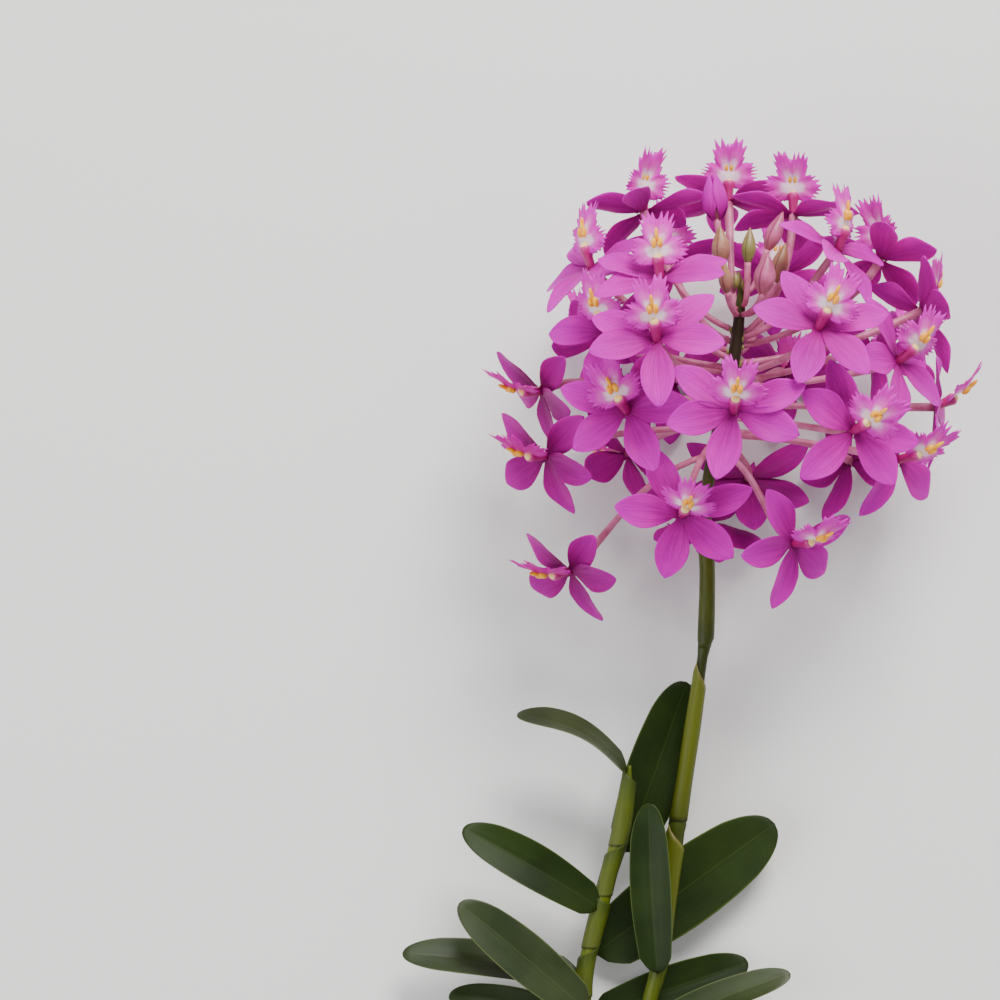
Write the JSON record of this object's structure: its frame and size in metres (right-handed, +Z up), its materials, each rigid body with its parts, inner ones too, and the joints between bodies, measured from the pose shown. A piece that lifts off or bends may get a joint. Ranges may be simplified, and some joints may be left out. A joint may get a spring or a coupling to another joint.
{
  "type": "orchid stem",
  "caption": "Cut reed-stem epidendrum orchid lying down: round head of magenta five-petalled blooms with fringed lips and buds at its tip, on a slim cane with a leafy side shoot.",
  "frame": {"origin": "on the surface the stem lies on, below the middle of the plant's bounding box", "axes": "+Z up from the surface, +Y along the stem from its cut end to the flower head, +X to the right of somebody who looks down on it with the head away from them"},
  "size_m": [0.1638, 0.2714, 0.1042],
  "materials": {
    "petal": "satin",
    "bud": "satin",
    "stem": "satin",
    "leaf": "satin"
  },
  "bodies": {
    "root": {"bloom_01": "petal", "bloom_02": "petal", "bloom_03": "petal", "bloom_04": "petal", "bloom_05": "petal", "bloom_06": "petal", "bloom_07": "petal", "bloom_08": "petal", "bloom_09": "petal", "bloom_10": "petal", "bloom_11": "petal", "bloom_12": "petal", "bloom_13": "petal", "bloom_14": "petal", "bloom_15": "petal", "bloom_16": "petal", "bloom_17": "petal", "bloom_18": "petal", "bloom_19": "petal", "bloom_20": "petal", "bloom_21": "petal", "bloom_22": "petal", "bloom_23": "petal", "bloom_24": "petal", "bloom_25": "petal", "bloom_26": "petal", "bloom_27": "petal", "bloom_28": "petal", "bloom_29": "petal", "bloom_30": "petal", "bloom_31": "petal", "bloom_32": "petal", "bud_1": "bud", "bud_2": "bud", "bud_3": "bud", "bud_4": "bud", "bud_5": "bud", "bud_6": "bud", "bud_7": "bud", "leaf_01": "leaf", "leaf_02": "leaf", "leaf_03": "leaf", "leaf_04": "leaf", "leaf_05": "leaf", "leaf_06": "leaf", "leaf_07": "leaf", "leaf_08": "leaf", "leaf_09": "leaf", "leaf_10": "leaf", "flowering_cane": "stem", "leafy_shoot": "stem"}
  },
  "joints": []
}
